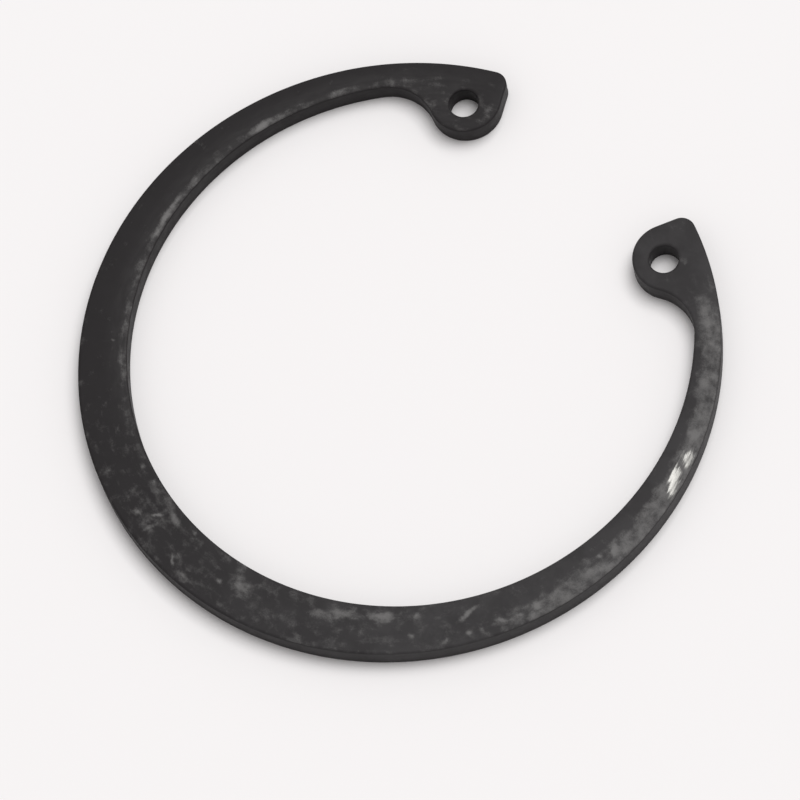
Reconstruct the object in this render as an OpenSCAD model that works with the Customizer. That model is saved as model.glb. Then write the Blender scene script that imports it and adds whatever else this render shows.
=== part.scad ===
// Internal retaining ring of stamped spring steel, lying flat as it does on a bench.
// The origin is the centre of the outer edge, on the lower face. The gap points to +Y.

/* [Ring] */
// Outer diameter of the free ring
ring_od = 54.2; // [50:0.1:66]
// Thickness of the strip
thickness = 2; // [1.2:0.05:3]
// Width of the band opposite the gap, where it is widest
band_w = 4.6; // [3.6:0.1:6]
// Width to which the band would taper in the middle of the gap
neck_w = 1.8; // [1.2:0.1:3]

/* [Lugs] */
// Clear width of the gap between the tips of the lugs
gap_w = 19.2; // [12:0.1:24]
// Depth of the lugs, from the outer edge to their round end
lug_depth = 6.15; // [5.6:0.05:7.2]
// Radius of the round end of a lug
lug_r = 3.1; // [2.7:0.05:3.5]
// Angle at the ring's centre from the tip of a lug to its round end
lug_lag = 4.35; // [3:0.05:6]
// Radius of the corner at the tip of a lug
tip_r = 1.2; // [1:0.05:2]
// Radius of the fillet between a lug and the band
fillet_r = 4.2; // [2.5:0.1:6]

/* [Plier holes] */
// Diameter of the plier holes
hole_d = 2.5; // [1.6:0.05:3]
// Distance from the centre of a plier hole to the round end of its lug
hole_inset = 2.65; // [2.3:0.05:3.2]

/* [Edges] */
// Radius of the rounded edges of the upper face
top_edge_r = 0.25; // [0.1:0.01:0.4]
// Radius of the eased edges of the lower face
bottom_edge_r = 0.1; // [0.05:0.01:0.3]

/* [Hidden] */
$fn = 180;

// Length by which the cutters run past both faces, and their reach outside the ring
over = 1;
far = 2 * ring_od;
// Depth by which neighbouring arcs of the outline overlap, so that each crosses the next
overlap = 0.05;

ring_r = ring_od / 2;
bore_r = ring_r - (band_w + neck_w) / 2;
bore_c = [0, (band_w - neck_w) / 2];

// Unit vector at an angle from the middle of the gap, towards +X
function from_gap(a) = [sin(a), cos(a)];
// Heading of a vector, and the unit vector of a heading
function heading(v) = atan2(v[1], v[0]);
function along(a) = [cos(a), sin(a)];
// The same point on the other side of the gap
function flip(p) = [-p[0], p[1]];

// Centres of the tip's corner, of the lug's round end and of the plier hole
tip_reach = ring_r - tip_r + overlap;
tip_a = asin((gap_w / 2 + tip_r) / tip_reach);
tip_c = tip_reach * from_gap(tip_a);
lug_a = tip_a + lug_lag;
lug_c = (ring_r - lug_depth + lug_r) * from_gap(lug_a);
hole_c = (ring_r - lug_depth + hole_inset) * from_gap(lug_a);

// Direction that the flat end face looks in, and its length from the tip's corner to the
// lug's round end, both of which it touches
tip_to_lug = lug_c - tip_c;
face_a = heading(tip_to_lug) - acos((tip_r - lug_r) / norm(tip_to_lug));
face_l = norm(tip_to_lug + (lug_r - tip_r) * along(face_a));

// Centre of the fillet, which touches the lug's round end and the bore
fillet_to_bore = bore_r - fillet_r + overlap;
lug_to_bore = norm(lug_c - bore_c);
fillet_to_lug = lug_r + fillet_r - overlap;
fillet_turn = acos((pow(fillet_to_bore, 2) + pow(lug_to_bore, 2) - pow(fillet_to_lug, 2))
                   / (2 * fillet_to_bore * lug_to_bore));
fillet_a = heading(lug_c - bore_c) - fillet_turn;
fillet_c = bore_c + fillet_to_bore * along(fillet_a);

// Half section of a round blank of radius r, its rim rounded at both faces
module rim_section(r) {
    square([r - top_edge_r, thickness]);
    square([r - bottom_edge_r, thickness / 2]);
    translate([0, bottom_edge_r]) square([r, thickness - top_edge_r - bottom_edge_r]);
    translate([r - top_edge_r, thickness - top_edge_r]) circle(top_edge_r);
    translate([r - bottom_edge_r, bottom_edge_r]) circle(bottom_edge_r);
}

// The same section with its flat part carried past both faces, to be spared by a cutter
module spared_section(r) {
    rim_section(r);
    translate([0, -over]) square([r - top_edge_r, thickness + 2 * over]);
    translate([0, -over]) square([r - bottom_edge_r, over + bottom_edge_r]);
}

// Half section of the cutter for a round hole of radius r with rounded edges
module mouth_section(r) {
    difference() {
        union() {
            translate([0, -over]) square([r, thickness + 2 * over]);
            translate([0, thickness - top_edge_r]) square([r + top_edge_r, top_edge_r + over]);
            translate([0, -over]) square([r + bottom_edge_r, bottom_edge_r + over]);
        }
        translate([r + top_edge_r, thickness - top_edge_r]) circle(top_edge_r);
        translate([r + bottom_edge_r, bottom_edge_r]) circle(bottom_edge_r);
    }
}

module mouth(c, r) {
    translate(c) rotate_extrude() mouth_section(r);
}

module prism(points) {
    translate([0, 0, -over]) linear_extrude(thickness + 2 * over) polygon(points);
}

module both_sides() {
    children();
    mirror([1, 0, 0]) children();
}

// Free end of a lug: the corner at its tip, its round end and the flat end face between them
module lug_end() {
    translate(tip_c) rotate_extrude() spared_section(tip_r);
    translate(lug_c) rotate_extrude() spared_section(lug_r);
    translate(tip_c) rotate(face_a) translate([-lug_r, face_l, 0])
        rotate([90, 0, 0]) linear_extrude(face_l) spared_section(lug_r + tip_r - overlap);
}

// The bore, as far round as the fillets
module bore() {
    fillet_end = bore_c + far * along(fillet_a);
    difference() {
        mouth(bore_c, bore_r);
        prism([bore_c, fillet_end, fillet_end + [0, far], flip(fillet_end) + [0, far],
               flip(fillet_end)]);
    }
}

// The gap, with the free ends of the lugs left standing
module gap() {
    right = [fillet_c, lug_c, tip_c, far * from_gap(tip_a)];
    left = [for (i = [len(right) - 1:-1:0]) flip(right[i])];
    difference() {
        prism(concat([bore_c - [0, lug_depth]], right, left));
        both_sides() lug_end();
    }
}

module retaining_ring() {
    color("dimgray") difference() {
        difference() {
            difference() {
                difference() {
                    rotate_extrude() rim_section(ring_r);
                    bore();
                }
                both_sides() mouth(fillet_c, fillet_r);
            }
            gap();
        }
        both_sides() mouth(hole_c, hole_d / 2);
    }
}

retaining_ring();
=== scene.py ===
"""Internal retaining ring of stamped spring steel, black phosphated and worn, flat on a pale floor."""

import math
from collections import namedtuple
from types import SimpleNamespace

import bpy
import numpy as np
from mathutils import Matrix, Vector, geometry, kdtree, noise


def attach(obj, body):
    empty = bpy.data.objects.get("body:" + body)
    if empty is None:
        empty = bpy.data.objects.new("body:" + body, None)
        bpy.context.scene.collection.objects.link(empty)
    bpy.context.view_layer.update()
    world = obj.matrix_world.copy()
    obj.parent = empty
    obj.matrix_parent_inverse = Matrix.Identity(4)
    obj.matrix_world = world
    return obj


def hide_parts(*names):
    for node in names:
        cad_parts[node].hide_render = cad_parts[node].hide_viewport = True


MM = 0.001

# The ring's outline, in millimetres and degrees, as part.scad has it
RING_R = 27.1
THICKNESS = 2.0
BAND_W = 4.6
NECK_W = 1.8
GAP_W = 19.2
LUG_DEPTH = 6.15
LUG_R = 3.1
LUG_LAG = 4.35
TIP_R = 1.2
FILLET_R = 4.2
HOLE_R = 1.25
HOLE_INSET = 2.65

# Width and depth of the upper edges, rolled over by the blanking die, and radius of the lower ones
RING_ROLL = (0.26, 0.16)
HOLE_ROLL = (0.3, 0.2)
LOWER_EASE = 0.1
# Fall of the upper face towards an edge, and the width that it takes: outer edge, then the others
OUTER_FALL = (0.045, 1.7)
INNER_FALL = (0.03, 0.8)
# Slight waves of the upper face: their height, their scale to the millimetre, the slice of noise
# that they are cut from, and that noise's dimension, lacunarity and octaves
WAVE = 0.005
WAVE_SCALE = 0.45
WAVE_SLICE = 3.1
WAVE_NOISE = (1.0, 2.0, 3)
# How sharply a nick's dent fades from its middle
DENT_FADE = 1.2
# The torn lower half of the sheared walls: its depth, its top, the height over which it sets in,
# the scale of its streaks along the wall and up it, how much they vary, and the noise they come from
TEAR = 0.016
TEAR_TOP = 1.15
TEAR_FADE = 0.4
TEAR_SCALE = 2.2
TEAR_RISE_SCALE = 0.8
TEAR_SWING = 0.6
TEAR_NOISE = (1.0, 2.0, 4)

# Spacing of the mesh along the outline, and over the upper and lower faces
OUTLINE_STEP = 0.17
UPPER_STEP = 0.17
LOWER_STEP = 0.35
# Room between a face's inner points and its edge, as a share of their spacing
EDGE_ROOM = 0.6
# Distance at which two points of a face are one
MERGE = 1e-6
# Degrees round the rolled upper edge and the eased lower one that have a row of points each,
# and the number of rows between the two
ROLL_TURNS = [0, 10, 21, 33, 45, 57, 68, 79, 90]
EASE_TURNS = [0, 30, 60, 90]
WALL_ROWS = 7

# An oval mark on the upper face: degrees from the gap, radius, length, width, turn out of the band's
# own direction, and its amount
Mark = namedtuple("Mark", "angle radius length width turn amount")

# Nicks down to bright steel. The amount is the depth
NICKS = [
    Mark(76.3, 26.3, 2.7, 1.0, 11, 0.05),
    Mark(71.9, 26.5, 1.6, 1.0, 12, 0.04),
]
# Places where the black finish is rubbed thin, and two painted highlights on the upper-left arm's bore
# edge (at -71.6 and -98.2 degrees). The amount is the strength
RUBS_AND_HIGHLIGHTS = [Mark(*row) for row in [
    (-166.6, 25.2, 3.3, 1.7, 21, 0.2),
    (-166.0, 23.2, 5.5, 1.1, 3, 0.25),
    (-167.1, 24.4, 1.1, 0.25, 53, 0.5),
    (-164.3, 25.5, 0.8, 0.7, 11, 0.3),
    (-168.3, 25.5, 1.3, 0.35, 79, 0.35),
    (-169.8, 23.4, 1.9, 0.6, -8, 0.3),
    (-176.5, 26.0, 1.4, 0.25, -43, 0.4),
    (-175.3, 23.0, 0.6, 0.5, 0, 0.35),
    (-160.4, 23.1, 0.7, 0.5, 14, 0.35),
    (-156.3, 23.3, 0.6, 0.5, 8, 0.3),
    (179.9, 26.4, 1.8, 0.7, -5, 0.4),
    (174.0, 24.9, 0.5, 0.5, 7, 0.35),
    (169.8, 24.2, 2.0, 1.3, -24, 0.5),
    (153.3, 24.1, 1.2, 1.1, -14, 0.3),
    (155.3, 26.5, 0.8, 0.7, -4, 0.3),
    (158.5, 26.6, 0.7, 0.6, 0, 0.2),
    (148.4, 23.9, 2.9, 1.0, 6, 0.5),
    (140.5, 23.8, 2.7, 0.9, 0, 0.55),
    (144.2, 25.4, 0.8, 0.7, -15, 0.3),
    (134.8, 25.6, 0.6, 0.6, -24, 0.55),
    (133.5, 23.9, 0.7, 0.7, -41, 0.4),
    (123.7, 24.6, 1.9, 0.55, 30, 0.65),
    (124.3, 26.2, 0.5, 0.5, -16, 0.35),
    (121.9, 26.3, 0.5, 0.5, -37, 0.35),
    (128.5, 26.5, 0.6, 0.5, -11, 0.25),
    (117.8, 26.0, 1.4, 0.35, -26, 0.35),
    (114.5, 26.2, 0.5, 0.4, -26, 0.35),
    (111.1, 26.1, 0.8, 0.7, -29, 0.4),
    (93.4, 25.9, 1.8, 0.5, 45, 0.35),
    (96.3, 25.5, 0.5, 0.5, -70, 0.4),
    (98.9, 25.1, 0.9, 0.7, -41, 0.3),
    (97.9, 26.5, 0.8, 0.6, -62, 0.3),
    (79.4, 25.4, 1.3, 1.1, 40, 0.3),
    (67.3, 26.2, 1.4, 0.7, -6, 0.4),
    (42.5, 26.0, 6.0, 2.8, 0, 0.36),
    (31.0, 25.1, 1.0, 0.6, 20, 0.3),
    (-23.5, 23.2, 2.4, 0.8, 73, 0.35),
    (-26.0, 24.1, 0.8, 0.5, -28, 0.3),
    (-35.7, 25.2, 1.6, 0.9, -16, 0.2),
    # Painted highlight along the bore's edge, not a rub
    (-71.6, 24.6, 3.2, 0.8, 11, 0.4),
    # Painted highlight along the bore's edge, not a rub
    (-98.2, 24.1, 4.6, 0.5, 5, 0.45),
    (-127.1, 24.4, 1.6, 0.2, -81, 0.4),
]]

# Degrees from the gap to the middle of the arm whose outer half has a painted sheen, which stands also for
# burnished wear, to the middle of the arm that has a painted highlight along the bore's edge, to the worn
# stretch opposite the gap, and to the side that is painted paler as if the lamp lit it. Each has a span:
# the cosines of the angle from there at which it starts and at which it is full
SHEEN_ARM_A = 80
SHEEN_ARM_SPAN = (0.7, 0.93)
DARK_ARM_A = -88
DARK_ARM_SPAN = (0.2, 0.9)
OPPOSITE_A = 165
OPPOSITE_SPAN = (0.35, 0.9)
# The side that is painted paler, as if the lamp lit it
LIT_SIDE_A = 88
LIT_SIDE_SPAN = (-0.55, 1.0)
# How strongly each of them, and the rubbed places and painted highlight spots, pale the finish before
# noise breaks that up
ARM_SHEEN_AND_WEAR = 0.62
RIM_HIGHLIGHT = 0.42
OPPOSITE_WEAR = 0.2
RUB_AND_HIGHLIGHT_SHARE = 1.3
# Millimetres in from the edge at which the arm's painted sheen, the bore edge's painted highlight and the
# painted sheen haze beside it start, and at which they are full, and how far the arm's painted sheen
# wanders
ARM_REACH = (2.3, 1.1)
ARM_WANDER = 2.2
SHEEN_HAZE_REACH = (2.2, 0.2)
RIM_REACH = (1.0, 0.35)
# Where cloud starts and stops to strengthen the painted highlight of the bore's edge, and its least and
# full share
RIM_CLOUD = (0.3, 0.65, 0.4, 1.0)
# Least and most painted sheen haze beside the bore's edge
SHEEN_HAZE = (0.03, 0.09)
# The level of wear and painted sheen at which the finish starts to thin and take sheen, the level at which
# this is strongest, and how strong it is there
THIN_FROM = 0.14
THIN_TO = 1.1
THINNEST = 0.66
# How much the mottle, the streaks and the grain break the wear and the painted sheen up
UNEVEN = (1.5, 0.8, 0.5)
# Softness of the outline of a rubbed place, of a painted highlight spot and of a nick, and how much the
# scrapes and the mottle tear a nick's outline
RUB_AND_HIGHLIGHT_SOFT = 1.1
NICK_SOFT = 0.5
NICK_TORN = (1.6, 0.6)
# Where the scrapes start and stop to bare a nick's steel, and the least and full share that is bare
NICK_SCRAPED = (0.7, 0.4, 0.55, 1.0)
# Upright part of a face's normal at which it is rubbed and painted with sheen at all, and at which fully
RUBBED_AND_SHEEN_SLOPE = (0.55, 0.9)

# Noises in the finish: scale to the millimetre, detail, roughness and distortion
CLOUD = (0.33, 4, 0.55, 0.4)
MOTTLE = (1.0, 5, 0.58, 0.2)
GRAIN = (9.0, 3, 0.6)
STREAK = (1.0, 4, 0.6, 0.3)
SCRAPE = (1.0, 2, 0.5, 0.2)
RAGGED = (1.9, 4)
# Scale of the long ones along the band, across it and through it
STREAK_SCALE = (0.45, 1.6, 1)
SCRAPE_SCALE = (0.6, 5, 1)
# How far the outlines of the marks are pushed about
RAGGED_REACH = 0.45
# Where most values of a noise lie
NOISE_RANGE = (0.3, 0.7)

DARK = (0.0125, 0.0108, 0.0115, 1)
GREY = (0.037, 0.035, 0.036, 1)
# Colour of the rubbed-thin finish, also the colour of the painted sheen and highlights
RUBBED_AND_SHEEN = (0.2, 0.195, 0.192, 1)
STEEL = (0.33, 0.325, 0.308, 1)
# Share of grey on the side painted darker, away from the painted light, the shares of cloud and mottle in
# the tone, and what the lowest and the highest tone multiply the grey by
GREY_LEAST = 0.12
CLOUD_SHARE = 0.6
MOTTLE_SHARE = 0.4
TONE = (0.55, 1.15)
# Metallic share of a nick, least and most roughness of the finish, how much smoother its rubbed and
# sheen-painted parts and its nicked parts are, and its specular level
NICK_METAL = 0.5
ROUGH = (0.46, 0.58)
SMOOTHED = 0.15
FINISH_SPECULAR = 0.12
# Relief of the finish: shares of mottle and grain, strength, and depth in metres
RELIEF = (0.7, 0.3)
BUMP_STRENGTH = 0.6
BUMP_DEPTH = 0.00003

# The camera, from the fit to the photograph: degrees, then millimetres
CAMERA_AZIMUTH = 58.1
CAMERA_ELEVATION = 65.19
CAMERA_ROLL = -16.77
CAMERA_DISTANCE = 542.0
CAMERA_AIM = (-0.055, -3.21)  # from the ring's centre, to the image's right and up
CAMERA_LENS = 290.8
CAMERA_SENSOR = 36
CAMERA_CLIP = (0.01, 20)  # metres

# The floor's half width and its depth below the ring, in metres
FLOOR_HALF = 3.0
FLOOR_DROP = 0.00002
FLOOR_COLOUR = (0.913, 0.896, 0.896, 1)

# The lamp: degrees from +X, degrees up, distance and width in metres, and level
KEY_AZIMUTH = 88
KEY_ELEVATION = 68
KEY_DISTANCE = 8.0
KEY_SIZE = 5.7
KEY_LEVEL = 0.67
# The even light from all round, and the level at which camera and gloss see it
WORLD_LEVEL = 0.45
WORLD_SEEN = 0.9
WORLD_COLOUR = (1, 0.985, 0.985, 1)


def heading(v):
    return math.degrees(math.atan2(v[1], v[0]))


def along(angle):
    a = math.radians(angle)
    return np.array([math.cos(a), math.sin(a)])


def from_gap(angle):
    return along(90 - angle)


BORE_R = RING_R - (BAND_W + NECK_W) / 2
BORE_C = np.array([0, (BAND_W - NECK_W) / 2])
TIP_A = math.degrees(math.asin((GAP_W / 2 + TIP_R) / (RING_R - TIP_R)))
TIP_C = (RING_R - TIP_R) * from_gap(TIP_A)
LUG_C = (RING_R - LUG_DEPTH + LUG_R) * from_gap(TIP_A + LUG_LAG)
HOLE_C = (RING_R - LUG_DEPTH + HOLE_INSET) * from_gap(TIP_A + LUG_LAG)


# Outline

def arc(centre, radius, start, end):
    """Points and normals along an arc. Where its radius is below 0, its normals point to its centre."""
    count = max(2, round(abs(math.radians(end - start) * radius) / OUTLINE_STEP))
    a = np.radians(np.linspace(start, end, count, endpoint=False))
    u = np.c_[np.cos(a), np.sin(a)]
    return centre + abs(radius) * u, math.copysign(1, radius) * u


def line(start, end, normal):
    """Points along a straight stretch, and its normal at each."""
    count = max(1, round(np.linalg.norm(end - start) / OUTLINE_STEP))
    t = np.linspace(0, 1, count, endpoint=False)[:, None]
    return start + t * (end - start), np.tile(normal, (count, 1))


def ring_outline():
    """The ring's outline, counter-clockwise from the middle of the outer edge, as points and normals."""
    tip_to_lug = LUG_C - TIP_C
    reach = (TIP_R - LUG_R) / np.linalg.norm(tip_to_lug)
    face_a = (heading(tip_to_lug) - math.degrees(math.acos(reach))) % 360
    normal = along(face_a)
    to_bore, to_lug = BORE_R - FILLET_R, LUG_R + FILLET_R
    between = np.linalg.norm(LUG_C - BORE_C)
    turn = math.acos((to_bore**2 + between**2 - to_lug**2) / (2 * to_bore * between))
    fillet_a = heading(LUG_C - BORE_C) - math.degrees(turn)
    fillet_c = BORE_C + to_bore * along(fillet_a)
    half = [
        arc(np.zeros(2), RING_R, -90, heading(TIP_C)),
        arc(TIP_C, TIP_R, heading(TIP_C), face_a),
        line(TIP_C + TIP_R * normal, LUG_C + LUG_R * normal, normal),
        arc(LUG_C, LUG_R, face_a, heading(fillet_c - LUG_C) % 360),
        arc(fillet_c, -FILLET_R, heading(LUG_C - fillet_c), fillet_a),
        arc(BORE_C, -BORE_R, fillet_a, -90),
        (np.array([BORE_C - [0, BORE_R]]), np.array([[0.0, 1.0]])),
    ]
    points = np.vstack([p for p, _ in half])
    normals = np.vstack([n for _, n in half])
    mirror = np.array([-1, 1])
    return np.vstack([points, points[-2:0:-1] * mirror]), np.vstack([normals, normals[-2:0:-1] * mirror])


def hole_outline(side):
    """The edge of the plier hole on that side, clockwise, as points and normals."""
    points, normals = arc(HOLE_C, -HOLE_R, 360, 0)
    if side < 0:
        points, normals = points[::-1] * [-1, 1], normals[::-1] * [-1, 1]
    return points, normals


class Outline:
    """The closed loops that bound the faces, each with the width that its rolled edge takes."""

    def __init__(self):
        self.loops = [ring_outline(), hole_outline(1), hole_outline(-1)]
        self.rolls = [RING_ROLL, HOLE_ROLL, HOLE_ROLL]
        self.points = np.vstack([p for p, _ in self.loops])
        self.normals = np.vstack([n for _, n in self.loops])
        self.widths = np.concatenate([np.full(len(p), roll[0])
                                      for (p, _), roll in zip(self.loops, self.rolls)])
        self.tree = kdtree.KDTree(len(self.points))
        for i, p in enumerate(self.points):
            self.tree.insert((*p, 0), i)
        self.tree.balance()

    def depth(self, p):
        """How far p lies inside the edge, below 0 outside it, and the width of the roll there."""
        _, i, _ = self.tree.find((p[0], p[1], 0))
        return -float(np.dot(p - self.points[i], self.normals[i])), self.widths[i]

    def set_back(self, insets):
        """The points of every loop, set back from the edge by its own inset."""
        return [p - inset * n for (p, n), inset in zip(self.loops, insets)]


# Mesh

def fill(outline, insets, step):
    """A face inside the loops, set back by insets: its points, the loops' own first, and its triangles."""
    loops = outline.set_back(insets)
    links, start = [], 0
    for loop in loops:
        links += [(start + i, start + (i + 1) % len(loop)) for i in range(len(loop))]
        start += len(loop)
    co = [Vector(q) for loop in loops for q in loop]
    row = step * math.sqrt(3) / 2
    reach = int(RING_R / row) + 1
    margin = insets[0] - outline.rolls[0][0]
    for j in range(-reach, reach + 1):
        for i in range(-reach, reach + 1):
            p = np.array([(i + 0.5 * (j % 2)) * step, j * row])
            if np.hypot(*p) > RING_R or np.hypot(*(p - BORE_C)) < BORE_R - LUG_DEPTH:
                continue
            depth, width = outline.depth(p)
            if depth > width + margin + EDGE_ROOM * step:
                co.append(Vector(p))
    verts, _, faces, *_ = geometry.delaunay_2d_cdt(co, links, [], 0, MERGE)
    points = np.array([tuple(v) for v in verts])
    inside = []
    for f in faces:
        depth, width = outline.depth(points[list(f)].mean(0))
        if depth > width + margin:
            inside.append(tuple(f))
    return points, inside


def wall_rows(roll):
    """Height and inset of each row of the wall, down from the upper face to the lower one."""
    width, depth = roll
    rows = [(THICKNESS - depth * (1 - math.cos(a)), width * (1 - math.sin(a)))
            for a in np.radians(ROLL_TURNS)]
    rows += [(h, 0.0) for h in np.linspace(THICKNESS - depth, LOWER_EASE, WALL_ROWS + 2)[1:-1]]
    rows += [(LOWER_EASE * (1 - math.sin(a)), LOWER_EASE * (1 - math.cos(a)))
             for a in np.radians(EASE_TURNS)]
    return rows


def smooth(x):
    x = np.clip(x, 0, 1)
    return x * x * (3 - 2 * x)


def torn(points, height):
    """How far the sheared wall is torn back at that height: uneven streaks, in its lower half only."""
    share = smooth((TEAR_TOP - height) / TEAR_FADE) * smooth(height / (2 * LOWER_EASE))
    if share == 0:
        return np.zeros(len(points))
    streaks = np.array([noise.fractal(Vector((*p * TEAR_SCALE, height * TEAR_RISE_SCALE)), *TEAR_NOISE)
                        for p in points])
    return TEAR * share * (1 + TEAR_SWING * np.clip(streaks, -1, 1))


def mark_frame(mark):
    """Centre of a mark, and the heading of its length, in radians."""
    return mark.radius * from_gap(mark.angle), math.radians(mark.turn - mark.angle)


def fall(p, outline):
    """How far the upper face has fallen at p, on its way to the nearest edge."""
    depth, width = outline.depth(p)
    outer = max(0.0, RING_R - math.hypot(*p) - RING_ROLL[0])
    inner = max(0.0, depth - width)
    return max(drop * max(0.0, 1 - reach / across) ** 2
               for reach, (drop, across) in ((outer, OUTER_FALL), (inner, INNER_FALL)))


def wave(p):
    """How deep the slight waves of the upper face are at p."""
    return abs(WAVE * noise.fractal(Vector((*p * WAVE_SCALE, WAVE_SLICE)), *WAVE_NOISE))


def dent(p):
    """How deep the nicks are at p."""
    deep = 0.0
    for nick in NICKS:
        centre, turn = mark_frame(nick)
        d = p - centre
        u = (d[0] * math.cos(turn) + d[1] * math.sin(turn)) / (nick.length / 2)
        v = (-d[0] * math.sin(turn) + d[1] * math.cos(turn)) / (nick.width / 2)
        deep += nick.amount * math.exp(-DENT_FADE * (u * u + v * v))
    return deep


def upper_shape(co, outline):
    """Change of height of each point. It is full at the upper face, and 0 in the lower half."""
    change = np.zeros(len(co))
    for k, (*p, z) in enumerate(co):
        share = float(smooth(z / THICKNESS * 2 - 1))
        if share > 0:
            p = np.array(p)
            change[k] = -share * (fall(p, outline) + wave(p) + dent(p))
    return change


def wall(outline, upper_count, lower_count):
    """The rows of points between the faces, and the quads that join rows and faces, from the top down."""
    count = len(outline.points)
    rows = list(zip(*[wall_rows(roll) for roll in outline.rolls]))
    blocks, ids, base = [], [np.arange(count)], upper_count + lower_count
    for row in rows[1:-1]:
        block = []
        for (p, n), (height, inset) in zip(outline.loops, row):
            back = inset + torn(p, height)
            block.append(np.c_[p - back[:, None] * n, np.full(len(p), height)])
        blocks.append(np.vstack(block))
        ids.append(base + np.arange(count))
        base += count
    ids.append(upper_count + np.arange(count))
    quads = []
    for above, below in zip(ids, ids[1:]):
        start = 0
        for p, _ in outline.loops:
            for i in range(len(p)):
                a, b = start + i, start + (i + 1) % len(p)
                quads.append((above[a], below[a], below[b], above[b]))
            start += len(p)
    return blocks, quads


def build_ring():
    outline = Outline()
    upper, upper_faces = fill(outline, [roll[0] for roll in outline.rolls], UPPER_STEP)
    lower, lower_faces = fill(outline, [LOWER_EASE] * len(outline.loops), LOWER_STEP)
    blocks, quads = wall(outline, len(upper), len(lower))
    faces = upper_faces + [tuple(len(upper) + i for i in reversed(f)) for f in lower_faces] + quads
    flat = [np.c_[upper, np.full(len(upper), THICKNESS)], np.c_[lower, np.zeros(len(lower))]]
    co = np.vstack(flat + blocks)
    co[:, 2] += upper_shape(co, outline)
    mesh = bpy.data.meshes.new("worn_ring")
    mesh.from_pydata((co * MM).tolist(), [], [tuple(int(i) for i in f) for f in faces])
    mesh.shade_smooth()
    obj = bpy.data.objects.new("worn_ring", mesh)
    bpy.context.scene.collection.objects.link(obj)
    return obj


# Materials

class Graph:
    """Adds nodes to a material. Each input is a number, a colour, a vector or another node's output."""

    def __init__(self, name):
        self.material = bpy.data.materials.new(name)
        self.material.use_nodes = True
        self.tree = self.material.node_tree
        self.shader = self.tree.nodes["Principled BSDF"]

    def put(self, socket, value):
        if isinstance(value, bpy.types.NodeSocket):
            self.tree.links.new(value, socket)
        else:
            socket.default_value = value

    def add(self, kind, inputs=(), output=0, **settings):
        node = self.tree.nodes.new("ShaderNode" + kind)
        for name, value in settings.items():
            setattr(node, name, value)
        for name, value in dict(inputs).items():
            self.put(node.inputs[name], value)
        return node.outputs[output]

    def math(self, operation, *values):
        return self.add("Math", dict(enumerate(values)), operation=operation)

    def vector(self, operation, *values, output=0):
        return self.add("VectorMath", dict(enumerate(values)), output, operation=operation)

    def scaled(self, value, scale):
        return self.add("VectorMath", {0: value, "Scale": scale}, operation="SCALE")

    def noise(self, place, scale, detail, roughness=0.5, distortion=0.0, output=0):
        return self.add("TexNoise", {"Vector": place, "Scale": scale, "Detail": detail,
                                     "Roughness": roughness, "Distortion": distortion}, output)

    def step(self, value, low, high, to_low=0.0, to_high=1.0):
        """Smooth step of value, from to_low at low to to_high at high. low may be above high."""
        if low > high:
            low, high, to_low, to_high = high, low, to_high, to_low
        return self.add("MapRange", {"Value": value, "From Min": low, "From Max": high,
                                     "To Min": to_low, "To Max": to_high},
                        interpolation_type="SMOOTHSTEP")

    def mix(self, factor, a, b):
        """Colours a and b mixed. The node has many sockets of the same names, so these go by number."""
        return self.add("Mix", {0: factor, 6: a, 7: b}, 2, data_type="RGBA")

    def chain(self, operation, values):
        result, *rest = values
        for value in rest:
            result = self.math(operation, result, value)
        return result

    def total(self, *values):
        return self.chain("ADD", values)

    def product(self, *values):
        return self.chain("MULTIPLY", values)

    def swing(self, value, size):
        """A noise value turned into a change of that size about 0."""
        return self.product(self.math("SUBTRACT", value, 0.5), size)

    def unroll(self, place, across):
        """Way along the band from the point opposite the gap, then across, then height, for long marks."""
        x = self.add("SeparateXYZ", {0: place}, "X")
        turn = self.math("ARCTAN2", x, self.product(x.node.outputs["Y"], -1))
        return self.add("CombineXYZ", {"X": self.product(turn, RING_R), "Y": across,
                                       "Z": x.node.outputs["Z"]})

    def mark(self, place, mark, soft, uneven=0.0):
        """1 at the middle of a mark, fading to 0 around its outline, which uneven shifts."""
        centre, turn = mark_frame(mark)
        local = self.add("Mapping", {"Vector": place, "Location": (*centre, THICKNESS),
                                     "Rotation": (0, 0, turn),
                                     "Scale": (mark.length / 2, mark.width / 2, 1.0)},
                         vector_type="TEXTURE")
        reach = self.math("ADD", self.vector("LENGTH", local, output="Value"), uneven)
        return self.step(reach, 1 + soft / 2, 1 - soft)

    def towards(self, place, angle):
        """Cosine of the angle between place, seen from the ring's centre, and that angle from the gap."""
        unit = self.vector("NORMALIZE", self.vector("MULTIPLY", place, (1, 1, 0)))
        return self.vector("DOT_PRODUCT", unit, (*from_gap(angle), 0), output="Value")


def ring_fields(g):
    """What the finish is worked out from: where a point lies, in millimetres, and the noises there."""
    place = g.scaled(g.add("TexCoord", output="Object"), 1 / MM)
    flat = g.vector("MULTIPLY", place, (1, 1, 0))
    radius = g.vector("LENGTH", flat, output="Value")
    bore_radius = g.vector("DISTANCE", flat, (*BORE_C, 0), output="Value")
    normal_z = g.add("SeparateXYZ", {0: g.add("NewGeometry", output="Normal")}, "Z")
    band = g.unroll(place, radius)
    push = g.vector("SUBTRACT", g.noise(place, *RAGGED, output="Color"), (0.5, 0.5, 0.5))
    return SimpleNamespace(
        place=place,
        ragged=g.vector("ADD", place, g.scaled(push, RAGGED_REACH)),
        from_outer=g.math("SUBTRACT", RING_R, radius),
        from_bore=g.math("SUBTRACT", bore_radius, BORE_R),
        facing=g.math("ABSOLUTE", normal_z),
        cloud=g.noise(place, *CLOUD),
        mottle=g.noise(place, *MOTTLE),
        grain=g.noise(place, *GRAIN),
        streak=g.noise(g.vector("MULTIPLY", band, STREAK_SCALE), *STREAK),
        scrape=g.noise(g.vector("MULTIPLY", band, SCRAPE_SCALE), *SCRAPE),
    )


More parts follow.
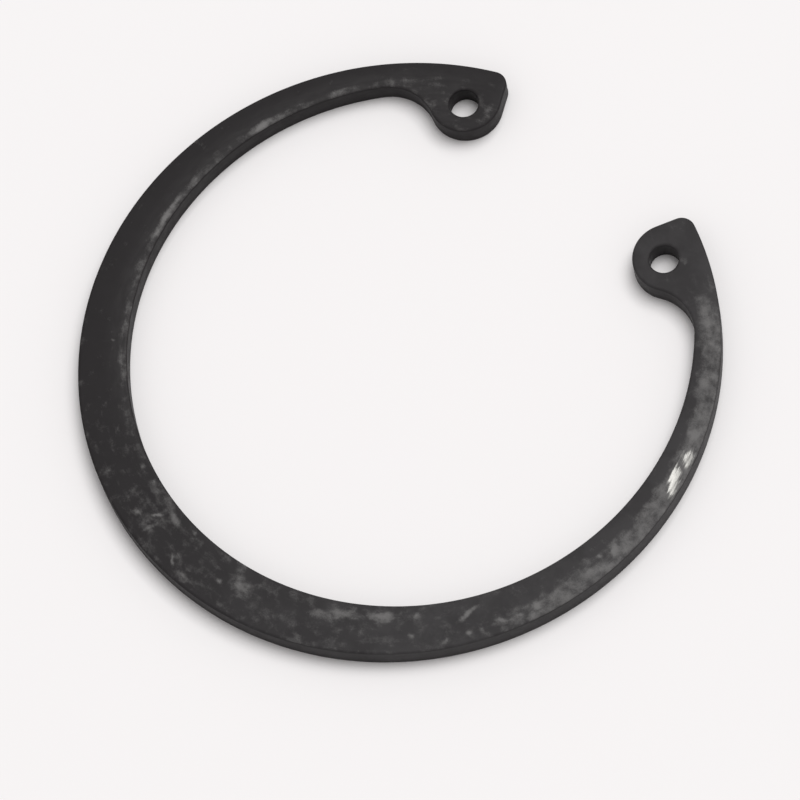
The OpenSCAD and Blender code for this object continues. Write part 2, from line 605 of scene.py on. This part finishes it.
def thinned_and_sheened(g, at):
    """How thin the finish is worn, and where sheen and highlights are painted on it: a painted sheen,
    standing also for burnished wear, along the outer half of an arm, a painted highlight along the bore's
    edge with a painted sheen haze beside it, wear opposite the gap, and rubs and painted highlights in
    spots.
    """
    # Painted sheen, standing also for burnished wear, along the outer half of the right arm
    arm_sheen = g.product(g.step(g.towards(at.place, SHEEN_ARM_A), *SHEEN_ARM_SPAN),
                    g.step(g.total(at.from_outer, g.swing(at.streak, ARM_WANDER)), *ARM_REACH))
    dark_arm = g.step(g.towards(at.place, DARK_ARM_A), *DARK_ARM_SPAN)
    # Painted highlight along the upper-left arm's bore edge
    rim_highlight = g.product(dark_arm, g.step(at.from_bore, *RIM_REACH), g.step(at.cloud, *RIM_CLOUD))
    opposite = g.step(g.towards(at.place, OPPOSITE_A), *OPPOSITE_SPAN)
    # Rubbed places, and two painted highlight spots
    rubs_and_highlights = g.total(*[g.product(g.mark(at.ragged, marked_spot, RUB_AND_HIGHLIGHT_SOFT), marked_spot.amount) for marked_spot in RUBS_AND_HIGHLIGHTS])
    wear_and_sheen = g.total(g.product(arm_sheen, ARM_SHEEN_AND_WEAR), g.product(rim_highlight, RIM_HIGHLIGHT),
                   g.product(opposite, OPPOSITE_WEAR), g.product(rubs_and_highlights, RUB_AND_HIGHLIGHT_SHARE))
    uneven = g.total(g.swing(at.mottle, UNEVEN[0]), g.swing(at.streak, UNEVEN[1]),
                     g.swing(at.grain, UNEVEN[2]))
    # Painted sheen haze beside that bore edge
    sheen_haze = g.product(dark_arm, g.step(at.from_bore, *SHEEN_HAZE_REACH), g.step(at.streak, *NOISE_RANGE, *SHEEN_HAZE))
    thin_and_sheen = g.total(g.step(g.total(wear_and_sheen, uneven), THIN_FROM, THIN_TO, 0, THINNEST), sheen_haze)
    return g.product(thin_and_sheen, g.step(at.facing, *RUBBED_AND_SHEEN_SLOPE))


def nicked(g, at):
    """Where the nicks have cut through to the steel, scraped along the band and torn at their outline."""
    torn_edge = g.total(g.swing(at.scrape, NICK_TORN[0]), g.swing(at.mottle, NICK_TORN[1]))
    bare = g.chain("MAXIMUM", [g.mark(at.ragged, nick, NICK_SOFT, torn_edge) for nick in NICKS])
    return g.product(bare, g.step(at.scrape, *NICK_SCRAPED))


def paled_and_lit(g, at):
    """How far the unworn finish is from its darkest towards grey: cloudy at random, and painted paler on
    one side as if lit from there.
    """
    # Painted light: the side facing the lamp is made paler
    side = g.total(g.step(g.towards(at.place, LIT_SIDE_A), *LIT_SIDE_SPAN), GREY_LEAST)
    tone = g.total(g.step(at.cloud, *NOISE_RANGE, 0.0, CLOUD_SHARE),
                   g.step(at.mottle, *NOISE_RANGE, 0.0, MOTTLE_SHARE))
    return g.product(side, g.step(tone, 0, 1, *TONE))


def phosphate():
    """Black phosphate finish on spring steel: mottled, rubbed thin in places, nicked to bright steel, with
    painted sheen and highlights and one side painted paler as if lit.
    """
    g = Graph("black_phosphate")
    at = ring_fields(g)
    thin_and_sheen, nick = thinned_and_sheened(g, at), nicked(g, at)
    # Wear and painted sheen and highlights pale the finish towards one colour
    finish = g.mix(thin_and_sheen, g.mix(paled_and_lit(g, at), DARK, GREY), RUBBED_AND_SHEEN)
    rough = g.math("SUBTRACT", g.step(at.mottle, *NOISE_RANGE, *ROUGH), g.product(thin_and_sheen, SMOOTHED))
    rough = g.math("SUBTRACT", rough, g.product(nick, SMOOTHED))
    relief = g.total(g.product(at.mottle, RELIEF[0]), g.product(at.grain, RELIEF[1]))
    bump = g.add("Bump", {"Height": relief, "Strength": BUMP_STRENGTH, "Distance": BUMP_DEPTH})
    g.put(g.shader.inputs["Base Color"], g.mix(nick, finish, STEEL))
    g.put(g.shader.inputs["Metallic"], g.step(nick, 0, 1, 0.0, NICK_METAL))
    g.put(g.shader.inputs["Roughness"], rough)
    g.put(g.shader.inputs["Specular IOR Level"], FINISH_SPECULAR)
    g.put(g.shader.inputs["Normal"], bump)
    return g.material


def floor_material():
    g = Graph("pale_floor")
    g.put(g.shader.inputs["Base Color"], FLOOR_COLOUR)
    g.put(g.shader.inputs["Roughness"], 1)
    g.put(g.shader.inputs["Specular IOR Level"], 0)
    return g.material


# Stage

def add_floor():
    corners = [(x * FLOOR_HALF, y * FLOOR_HALF, -FLOOR_DROP)
               for x, y in ((-1, -1), (1, -1), (1, 1), (-1, 1))]
    mesh = bpy.data.meshes.new("floor")
    mesh.from_pydata(corners, [], [(0, 1, 2, 3)])
    obj = bpy.data.objects.new("floor", mesh)
    obj.data.materials.append(floor_material())
    bpy.context.scene.collection.objects.link(obj)


def add_camera():
    a, e, r = (math.radians(x) for x in (CAMERA_AZIMUTH, CAMERA_ELEVATION, CAMERA_ROLL))
    back = Vector((math.sin(a) * math.cos(e), -math.cos(a) * math.cos(e), math.sin(e)))
    level = Vector((math.cos(a), math.sin(a), 0))
    steep = back.cross(level)
    right = math.cos(r) * level + math.sin(r) * steep
    up = -math.sin(r) * level + math.cos(r) * steep
    data = bpy.data.cameras.new("camera")
    data.lens = CAMERA_LENS
    data.sensor_width = CAMERA_SENSOR
    data.clip_start, data.clip_end = CAMERA_CLIP
    place = Matrix((right, up, back)).transposed().to_4x4()
    place.translation = (CAMERA_AIM[0] * right + CAMERA_AIM[1] * up + CAMERA_DISTANCE * back) * MM
    obj = bpy.data.objects.new("camera", data)
    obj.matrix_world = place
    bpy.context.scene.collection.objects.link(obj)
    bpy.context.scene.camera = obj


def add_lamp(name, azimuth, elevation, distance, size, level):
    """A square soft lamp aimed at the ring. A level of 1 lights the floor as a white world does."""
    a, e = math.radians(azimuth), math.radians(elevation)
    direction = Vector((math.cos(a) * math.cos(e), math.sin(a) * math.cos(e), math.sin(e)))
    data = bpy.data.lights.new(name, "AREA")
    data.shape = "SQUARE"
    data.size = size
    data.energy = level * (math.pi * distance) ** 2 / math.sin(e)
    obj = bpy.data.objects.new(name, data)
    obj.location = direction * distance
    obj.rotation_mode = "QUATERNION"
    obj.rotation_quaternion = direction.to_track_quat("Z", "Y")
    bpy.context.scene.collection.objects.link(obj)


def add_world(level, seen):
    """Even light from all round at that level, which camera and gloss see as a pale backdrop."""
    world = bpy.data.worlds.new("studio")
    bpy.context.scene.world = world
    world.use_nodes = True
    tree = world.node_tree
    path = tree.nodes.new("ShaderNodeLightPath")
    either = tree.nodes.new("ShaderNodeMath")
    either.operation = "MAXIMUM"
    tree.links.new(path.outputs["Is Camera Ray"], either.inputs[0])
    tree.links.new(path.outputs["Is Glossy Ray"], either.inputs[1])
    strength = tree.nodes.new("ShaderNodeMapRange")
    strength.inputs["To Min"].default_value = level
    strength.inputs["To Max"].default_value = seen
    tree.links.new(either.outputs[0], strength.inputs["Value"])
    tree.links.new(strength.outputs[0], tree.nodes["Background"].inputs["Strength"])
    tree.nodes["Background"].inputs["Color"].default_value = WORLD_COLOUR


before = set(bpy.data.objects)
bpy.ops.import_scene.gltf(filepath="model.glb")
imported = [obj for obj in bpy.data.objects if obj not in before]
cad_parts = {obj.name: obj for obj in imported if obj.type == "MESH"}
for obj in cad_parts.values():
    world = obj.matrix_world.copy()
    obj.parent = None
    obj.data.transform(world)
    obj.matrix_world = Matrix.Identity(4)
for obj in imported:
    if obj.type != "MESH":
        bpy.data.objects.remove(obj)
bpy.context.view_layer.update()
add_camera()
ring = build_ring()
ring.data.materials.append(phosphate())
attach(ring, "root")
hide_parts("retaining_ring")
add_floor()
add_world(WORLD_LEVEL, WORLD_SEEN)
add_lamp("key", KEY_AZIMUTH, KEY_ELEVATION, KEY_DISTANCE, KEY_SIZE, KEY_LEVEL)
bpy.context.scene.view_settings.view_transform = "Standard"
